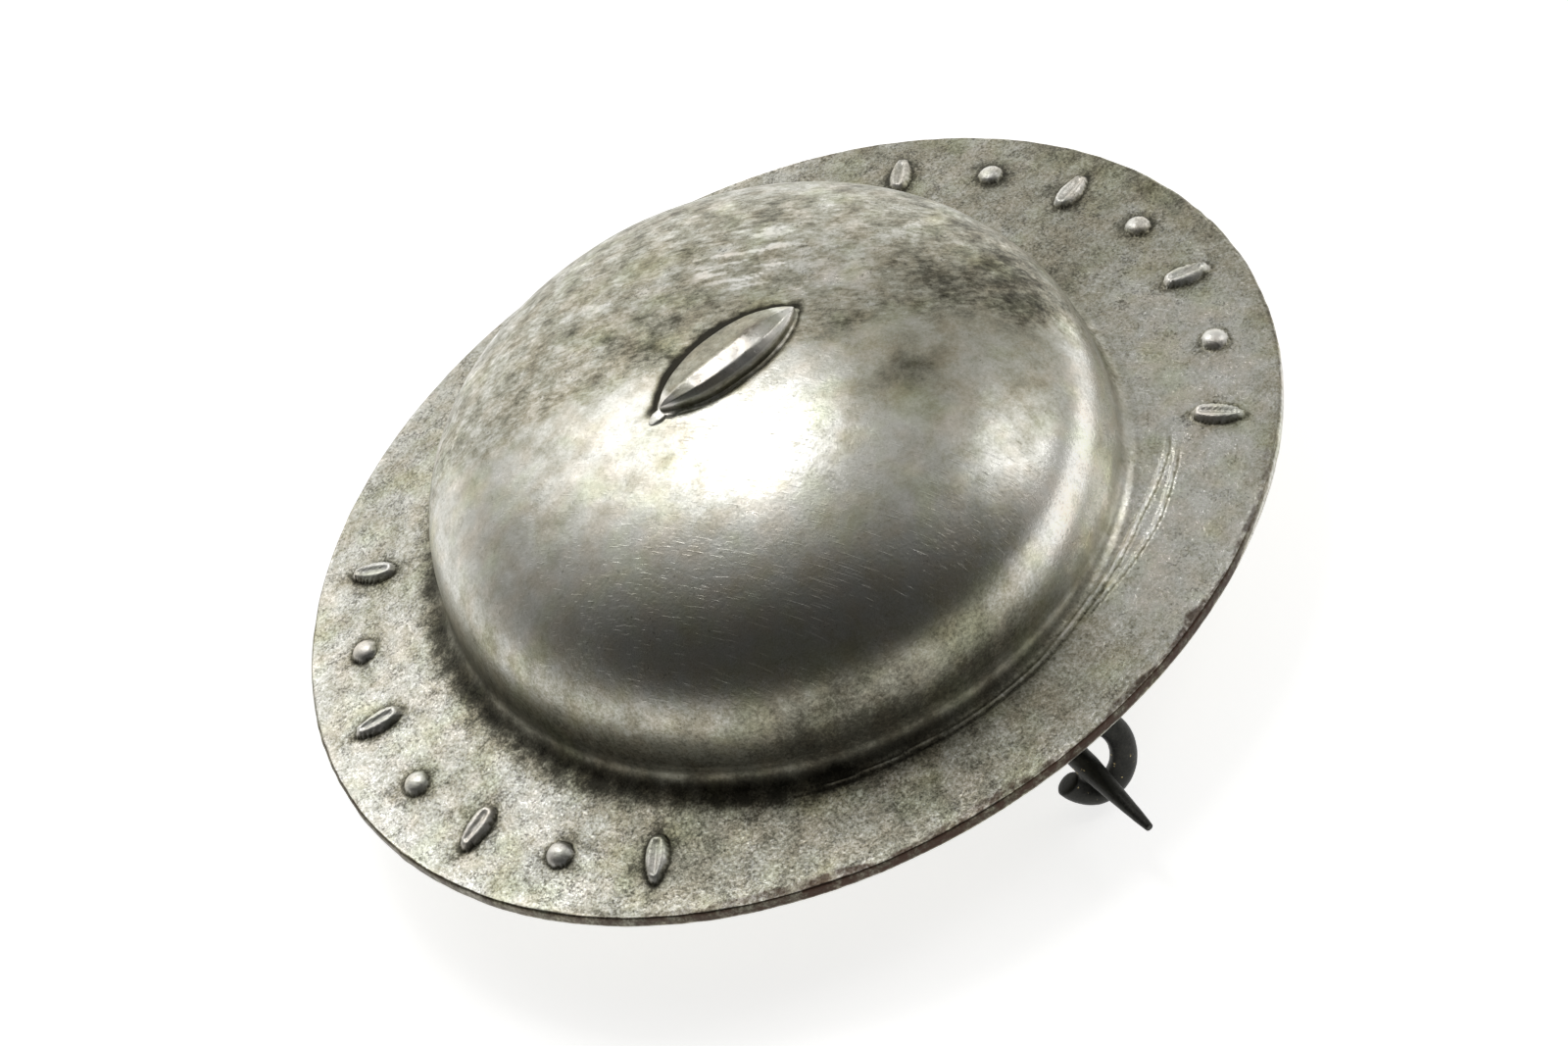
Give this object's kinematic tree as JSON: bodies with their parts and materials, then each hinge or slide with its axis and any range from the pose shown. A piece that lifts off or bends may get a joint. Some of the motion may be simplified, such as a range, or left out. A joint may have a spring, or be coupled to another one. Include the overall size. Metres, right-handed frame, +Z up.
{
  "type": "cap badge",
  "caption": "Helmet-shaped cap badge: a domed sheet-metal crown on an oval brim with a raised border, a soldered comb, and a wire pin with its catch underneath.",
  "frame": {"origin": "centre of the base of the part's box, with the pin latched", "axes": "+Z up through the crown, X along the helmet's long axis, Y across it, with the pin's point towards -Y"},
  "size_m": [0.038, 0.0356, 0.0128],
  "materials": {
    "helmet_shell": "aged silvery grey metal with dark patina",
    "crown_comb": "aged silvery grey metal, burnished on its ridge",
    "comb_solder": "dull whitish solder",
    "catch_hook": "nearly black patina over brass",
    "catch_solder": "dull grey solder",
    "hinge_post": "nearly black patina over brass",
    "hinge_solder": "dull grey solder",
    "pin_wire": "nearly black patina over brass"
  },
  "bodies": {
    "badge": {"helmet_shell": "helmet_shell", "crown_comb": "crown_comb", "comb_solder": "comb_solder", "catch_hook": "catch_hook", "catch_solder": "catch_solder", "hinge_post": "hinge_post", "hinge_solder": "hinge_solder"},
    "pin": {"pin_wire": "pin_wire"}
  },
  "joints": [
    {"name": "pin_swing", "type": "hinge", "parent": "badge", "child": "pin", "pos_m": [0.00117, 0.01596, 0.00242], "axis": [0, 0, -1], "range_deg": [0, 105]}
  ]
}
